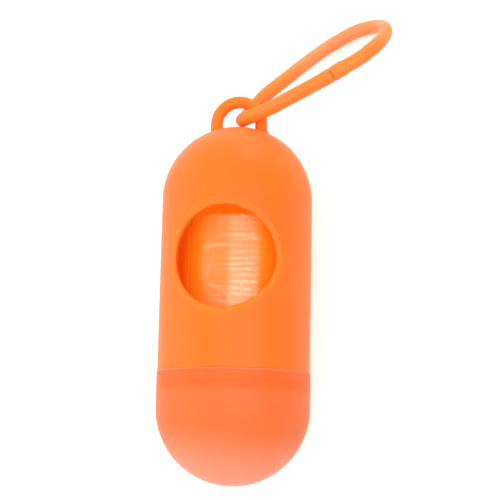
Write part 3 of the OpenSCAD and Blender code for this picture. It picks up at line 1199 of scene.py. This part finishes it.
def body_plastic(finishes, sizes):
    """Satin moulded plastic with painted light: paler at the eyelet, the window's rim and its inner faces.
    """
    material, tree, shader, coordinates = new_material("body_plastic")
    place = coordinates.outputs["Object"]
    x, y, z = separate(tree, place)
    cloudy = ramp(noise(tree, place, 45.0), 0.35, 0.65)
    colour = blend_colours(tree, cloudy, deeper(finishes.body, 0.97), finishes.body)
    # Painted light: a band round the window's rim is painted paler, where light shines through the thin
    # plastic
    across_window = (x * x + (y - window_place(sizes)).math("POWER", 2.0)).math("SQRT")
    hole_r = sizes.window_d / 2
    slope = (1 - (x * (hole_r / BODY_R) / across_window).math("POWER", 2.0)).math("SQRT")
    share = (across_window - hole_r) / (slope * sizes.rim_w)
    rim = ramp(share, 1.04, 0.9, smooth=True)
    rim = rim * ramp(z, AXIS_Z + 9 * MM, AXIS_Z + 11 * MM)
    rim = rim * ramp(across_window, hole_r - 0.1 * MM, hole_r + 0.3 * MM)
    # Painted light: the eyelet is painted paler, where light shines through its thin bar
    eyelet = ramp(y, BODY_HIGH.y - 9 * MM, BODY_HIGH.y - 7 * MM) * 0.7
    colour = blend_colours(tree, rim.math("MAXIMUM", eyelet), colour, finishes.rim)
    # Painted light: the inner faces are lighter, for light that shines through the translucent wall into
    # the cavity
    past_centre = (y - (CAP_CENTRE_Y + sizes.straight_len)).math("MAXIMUM", 0.0)
    off_axis = (x * x + (z - AXIS_Z).math("POWER", 2.0) + past_centre.math("POWER", 2.0)).math("SQRT")
    bore_r = BODY_R - sizes.body_wall
    inside = ramp(off_axis, bore_r + 0.2 * MM, bore_r + 0.5 * MM, 1.0, 0.0)
    inside = inside * ramp(across_window, hole_r + 0.1 * MM, hole_r + 0.4 * MM, 0.0, 1.0)
    colour = blend_colours(tree, inside, colour, finishes.inside)
    tree.links.new(colour, shader.inputs["Base Color"])
    moulded_finish(tree, shader, place, 0.36)
    lit_through(tree, shader, BODY_TINT)
    return material


def cap_plastic(finishes, sizes, thread):
    """Paler translucent plastic, with painted shade over the neck and thread, painted light at its end and
    rim.
    """
    material, tree, shader, coordinates = new_material("cap_plastic")
    place = coordinates.outputs["Object"]
    x, y, z = separate(tree, place)
    cloudy = ramp(noise(tree, place, 60.0), 0.35, 0.65)
    colour = blend_colours(tree, cloudy, deeper(finishes.cap, 0.95), finishes.cap)
    # Painted light: the empty round end is paler, where light shines through it with nothing behind
    wavy_y = y + (noise(tree, place, 70.0) - 0.5) * 6 * MM
    end = ramp(wavy_y, CAP_CENTRE_Y - 4 * MM, CAP_LOW.y + 1 * MM, smooth=True)
    colour = blend_colours(tree, end, colour, finishes.cap_painted_light)
    # Painted shade: darker where the neck stands behind the translucent cap, in streaks along its thread,
    # fading at the rim
    turn = x.math("ARCTAN2", z - AXIS_Z)
    streak_y = y - turn * thread.turn_height / FULL_TURN
    thread_shade = ramp((streak_y * (FULL_TURN / thread.turn_height)).math("COSINE"), 0.2, 1.0, smooth=True)
    soft_edge = y + (noise(tree, place, 220.0) - 0.5) * 1.2 * MM
    neck = ramp(soft_edge, BODY_END_Y - 0.3 * MM, BODY_END_Y + 0.7 * MM, smooth=True)
    neck = neck * ramp(y, SEAM_Y - 0.35 * MM, SEAM_Y - 0.2 * MM, 1.0, 0.25)
    neck = neck * (0.75 + thread_shade * 0.25)
    colour = blend_colours(tree, neck, colour, finishes.cap_neck_shade)
    # Painted highlight along the cap's rim at the seam
    rim = ramp(y, SEAM_Y - 0.45 * MM, SEAM_Y - 0.2 * MM, smooth=True) * 0.5
    colour = blend_colours(tree, rim, colour, finishes.cap_painted_light)
    tree.links.new(colour, shader.inputs["Base Color"])
    moulded_finish(tree, shader, place, 0.4)
    lit_through(tree, shader, CAP_TINT)
    return material


# Pale marks on the first bag, in millimetres: one crease, then painted highlights along its torn edge and
# painted glints low on the roll and at its end. Each gives where it starts and ends, across and along the
# capsule, and its width. The last number is how pale it is, from 0 to 1
FILM_CREASES_AND_GLINTS = [
    # A crease across the first bag
    ((2.3, 1.1), (4.8, -3.1), 0.5, 0.8),
    # Painted highlights along the first bag's torn edge
    ((-3.2, 6.3), (-5.4, -0.4), 0.35, 0.35),
    ((-5.4, -0.6), (-0.8, -3.1), 0.4, 0.3),
    # Painted glints on the ridges low on the roll
    ((-1.2, -2.9), (4.8, -6.2), 0.5, 0.9),
    ((-3.6, -4.6), (3.6, -5.9), 0.4, 0.45),
    # Painted glints at the roll's end
    ((2.6, 15.8), (4.9, 14.9), 0.35, 1.0),
    ((4.4, 14.5), (5.8, 13.8), 0.35, 0.5),
]


def crease_and_glint_line(x, y, start, end, width):
    """1 along a straight line between two places, as drawn for creases and painted glints, and 0 beside it
    and at its ends.
    """
    across, along = (end[0] - start[0]) * MM, (end[1] - start[1]) * MM
    length = math.hypot(across, along)
    from_x, from_y = x - start[0] * MM, y - start[1] * MM
    share = ramp(from_x * (across / length) + from_y * (along / length), 0.0, length)
    off_x, off_y = from_x - share * across, from_y - share * along
    beside = (off_x.math("POWER", 2.0) + off_y.math("POWER", 2.0)).math("SQRT")
    tapered = ramp((share - 0.5).math("ABSOLUTE"), 0.2, 0.5, 1.0, 0.0)
    return ramp(beside, 0.1 * width * MM, width * MM, 1.0, 0.0, smooth=True) * tapered


def bag_film(finishes, sizes):
    """Film wound tight, with painted light on top, painted shade on its sides, painted glints and pale
    creases.
    """
    material, tree, shader, coordinates = new_material("bag_film")
    place = coordinates.outputs["Object"]
    x, y, z = separate(tree, place)
    turn = x.math("ARCTAN2", z - ROLL_Z)
    # Painted light and shade: the roll's top is painted paler where light falls in at the window, its sides
    # deeper in shade
    near_top = ramp((turn - 0.05).math("COSINE"), 0.8, 0.965, smooth=True)
    colour = blend_colours(tree, near_top, finishes.film_shaded_side, finishes.film)
    # Fine pale streaks in the film, shown only on the painted-lit top of the roll
    streaky = noise(tree, stretched(tree, coordinates, (60, 900, 60)), 1.0, 4.0)
    crossed = noise(tree, stretched(tree, coordinates, (500, 160, 500)), 1.0, 3.0)
    fine = ramp(streaky, 0.5, 0.72, smooth=True) * ramp(crossed, 0.3, 0.6) * near_top * 0.5
    # Painted glints: the ridges are painted paler right of the roll's top, where the lamp above the window
    # is reflected, more so towards the cap
    ridges = film_relief(tree, {
        "Ridge spacing": sizes.ridge_step, "Ridge height": 1.0, "Tight turn": TIGHT_TURN, "Seed": sizes.seed
    }, turn, y - WEB_LOW.y)
    tight = ramp((turn - TIGHT_TURN).math("COSINE"), 0.95, 0.985, smooth=True)
    tight = tight * ramp(y, 13 * MM, -3 * MM, 0.3, 1.0)
    pale = fine + (ridges * 0.7 + 0.35) * tight
    on_top = ramp(z, ROLL_Z, ROLL_Z + 5 * MM)
    for start, end, width, strength in FILM_CREASES_AND_GLINTS:
        pale = pale.math("MAXIMUM", crease_and_glint_line(x, y, start, end, width) * on_top * strength)
    colour = blend_colours(tree, pale, colour, finishes.film_crease_and_glint)
    tree.links.new(colour, shader.inputs["Base Color"])
    connect(tree, shader.inputs["Roughness"], ramp(noise(tree, place, 400.0, 3.0), 0.3, 0.7, 0.3, 0.42))
    shader.inputs["Specular IOR Level"].default_value = 0.3
    shader.inputs["Coat Weight"].default_value = 0.35
    shader.inputs["Coat Roughness"].default_value = 0.25
    lit_through(tree, shader, FILM_TINT)
    bump(tree, shader, streaky * 0.7 + crossed * 0.3, 0.12 * MM, 0.5)
    return material


def core_card(finishes):
    """Grey-brown card with fibres, and the spiral seam that it is wound with."""
    material, tree, shader, coordinates = new_material("core_card")
    place = coordinates.outputs["Object"]
    x, y, z = separate(tree, place)
    fibres = noise(tree, stretched(tree, coordinates, (900, 350, 900)), 1.0, 6.0)
    colour = blend_colours(tree, fibres, deeper(finishes.card, 0.75), finishes.card)
    turn = x.math("ARCTAN2", z - ROLL_Z) / FULL_TURN
    winding = (y / (22 * MM) + turn).math("FRACT")
    seam = ramp((winding - 0.5).math("ABSOLUTE"), 0.0, 0.02, 1.0, 0.0, smooth=True)
    colour = blend_colours(tree, seam, colour, deeper(finishes.card, 0.5))
    tree.links.new(colour, shader.inputs["Base Color"])
    connect(tree, shader.inputs["Roughness"], ramp(fibres, 0.3, 0.7, 0.8, 0.95))
    bump(tree, shader, fibres * 0.5 - seam, 0.08 * MM, 0.6)
    return material


def strap_rubber(finishes):
    """Smooth soft rubber with painted light where it lies low, a fine grain and the faint lines of its
    mould.
    """
    material, tree, shader, coordinates = new_material("strap_rubber")
    place = coordinates.outputs["Object"]
    u, _, _ = separate(tree, coordinates.outputs["UV"])
    cloudy = ramp(noise(tree, place, 120.0), 0.35, 0.65)
    colour = blend_colours(tree, cloudy, deeper(finishes.strap, 0.93), finishes.strap)
    _, _, z = separate(tree, place)
    # Painted light: paler where the strap lies low, for light from the floor coming through it
    colour = blend_colours(tree, ramp(z, 15 * MM, 5 * MM, smooth=True), colour, finishes.strap_low_lit)
    tree.links.new(colour, shader.inputs["Base Color"])
    half = (u * 2).math("FRACT")
    mould_line = ramp((half - 0.5).math("ABSOLUTE"), 0.0, 0.035, 1.0, 0.0, smooth=True)
    grain = noise(tree, place, 1500.0, 3.0)
    connect(tree, shader.inputs["Roughness"], ramp(noise(tree, place, 500.0, 3.0), 0.3, 0.7, 0.38, 0.5))
    shader.inputs["Specular IOR Level"].default_value = 0.3
    soften(shader, 0.4, 0.8 * MM)
    bump(tree, shader, grain * 0.5 + mould_line * 0.6, 0.06 * MM, 0.4)
    return material


# The camera, as fitted to the capsule's outline, seam, window and eyelet in the photograph
CAMERA_PLACE = Vector((57.82, -43.745, 326.64)) * MM
CAMERA_BACK = Vector((0.1715, -0.1663, 0.9710))
CAMERA_UP = Vector((0.0093, 0.9859, 0.1672))
CAMERA_LENS = 93.6
CAMERA_SENSOR = 36.0

# Where each lamp stands, and its width and length
LAMPS = {
    "key": (Vector((0.24, -0.02, 0.68)), 0.8, 0.2),
    "fill": (Vector((-0.8, 0.0, 0.3)), 0.5, 0.9),
    "top": (Vector((0.18, 0.7, 0.22)), 0.24, 0.3),
    "front": (Vector((-0.1, -0.75, 0.3)), 0.6, 0.3),
}
LAMP_WATTS = 4

# The floor's half width and depth under the capsule, and the distances between which its far part brightens
FLOOR_HALF = 3.0
FLOOR_DROP = 0.05 * MM
FAR_FLOOR = (0.25, 1.2)
FAR_GLOW = 0.5


class BuildStage(bpy.types.Operator):
    """Builds the pale floor, the soft studio light and the camera"""

    bl_idname = "dispenser.build_stage"
    bl_label = "Stage"

    def execute(self, context):
        scene, settings = context.scene, context.scene.dispenser_stage
        self.floor(settings)
        self.world(scene, settings)
        for name, (place, width, length) in LAMPS.items():
            self.lamp(f"{name}_lamp", place, width, length, getattr(settings, name))
        self.camera(scene)
        scene.view_settings.view_transform = "Standard"
        return {"FINISHED"}

    def floor(self, settings):
        """A wide pale floor, which the camera sees brighter than it is lit, most of all far off."""
        corners = [(x * FLOOR_HALF, y * FLOOR_HALF) for x, y in ((-1, -1), (1, -1), (1, 1), (-1, 1))]
        mesh = bpy.data.meshes.new("floor")
        mesh.from_pydata([(x, y, -FLOOR_DROP) for x, y in corners], [], [(0, 1, 2, 3)])
        material, tree, shader, coordinates = new_material("floor")
        shader.inputs["Base Color"].default_value = (*settings.floor, 1.0)
        shader.inputs["Roughness"].default_value = 0.9
        shader.inputs["Specular IOR Level"].default_value = 0.0
        path = tree.nodes.new("ShaderNodeLightPath")
        glow = tree.nodes.new("ShaderNodeEmission")
        together = tree.nodes.new("ShaderNodeAddShader")
        seen = Value(tree, path.outputs["Is Camera Ray"]) + Value(tree, path.outputs["Is Glossy Ray"])
        x, y, _ = separate(tree, coordinates.outputs["Object"])
        far = ramp((x * x + y * y).math("SQRT"), *FAR_FLOOR, 0.0, FAR_GLOW)
        connect(tree, glow.inputs["Strength"], seen * (far + settings.floor_glow))
        tree.links.new(shader.outputs[0], together.inputs[0])
        tree.links.new(glow.outputs[0], together.inputs[1])
        tree.links.new(together.outputs[0], tree.nodes["Material Output"].inputs["Surface"])
        mesh.materials.append(material)
        floor = bpy.data.objects.new("floor", mesh)
        bpy.context.scene.collection.objects.link(floor)

    def world(self, scene, settings):
        """Soft light from all round, stronger from the left, in front of a white background."""
        scene.world = bpy.data.worlds.new("studio")
        scene.world.use_nodes = True
        tree = scene.world.node_tree
        light = tree.nodes["Background"]
        light.inputs["Color"].default_value = (1, 1, 1, 1)
        path = tree.nodes.new("ShaderNodeLightPath")
        direction = tree.nodes.new("ShaderNodeTexCoord")
        x, _, _ = separate(tree, direction.outputs["Generated"])
        seen = Value(tree, path.outputs["Is Camera Ray"]) + Value(tree, path.outputs["Is Transmission Ray"])
        sided = ramp(x, -1.0, 1.0, settings.surround + settings.lean, settings.surround - settings.lean)
        connect(tree, light.inputs["Strength"], ramp(seen, 0.0, 1.0, sided, 1.0))

    def lamp(self, name, place, width, length, brightness):
        """A soft rectangular lamp that faces the capsule, with its length along it."""
        data = bpy.data.lights.new(name, "AREA")
        data.shape = "RECTANGLE"
        data.size = width
        data.size_y = length
        data.energy = LAMP_WATTS * brightness * width * length
        lamp = bpy.data.objects.new(name, data)
        back = (place - Vector((0, 0, AXIS_Z))).normalized()
        side = Vector((0, 1, 0)).cross(back).normalized()
        turned = Matrix((side, back.cross(side), back)).transposed().to_4x4()
        lamp.matrix_world = Matrix.Translation(place) @ turned
        bpy.context.scene.collection.objects.link(lamp)

    def camera(self, scene):
        data = bpy.data.cameras.new("camera")
        data.lens = CAMERA_LENS
        data.sensor_width = CAMERA_SENSOR
        data.clip_start = 0.01
        camera = bpy.data.objects.new("camera", data)
        back = CAMERA_BACK.normalized()
        right = CAMERA_UP.cross(back).normalized()
        turned = Matrix((right, back.cross(right), back)).transposed().to_4x4()
        camera.matrix_world = Matrix.Translation(CAMERA_PLACE) @ turned
        scene.collection.objects.link(camera)
        scene.camera = camera


class DispenserPanel(bpy.types.Panel):
    """Lists the dispenser's sizes and colours, and the steps that build it"""

    bl_idname = "VIEW3D_PT_dispenser"
    bl_label = "Dog poop bag dispenser"
    bl_space_type = "VIEW_3D"
    bl_region_type = "UI"
    bl_category = "Dispenser"

    def draw(self, context):
        layout = self.layout
        for operator in OPERATORS:
            layout.operator(operator.bl_idname)
        for name, group in GROUPS.items():
            box = layout.box()
            box.label(text=group.__doc__)
            for setting in group.__annotations__:
                box.prop(getattr(context.scene, name), setting)


OPERATORS = (BuildBody, BuildCap, BuildRoll, BuildStrap, BuildStage)
CLASSES = (*GROUPS.values(), *OPERATORS, DispenserPanel)


def register():
    for made in CLASSES:
        bpy.utils.register_class(made)
    for name, group in GROUPS.items():
        setattr(bpy.types.Scene, name, PointerProperty(type=group))


def unregister():
    for name in GROUPS:
        delattr(bpy.types.Scene, name)
    for made in reversed(CLASSES):
        bpy.utils.unregister_class(made)


def main():
    register()
    bpy.ops.dispenser.build_stage()
    bpy.ops.dispenser.build_strap()
    bpy.ops.dispenser.build_body()
    bpy.ops.dispenser.build_cap()
    bpy.ops.dispenser.build_roll()


if __name__ == "__main__":
    main()
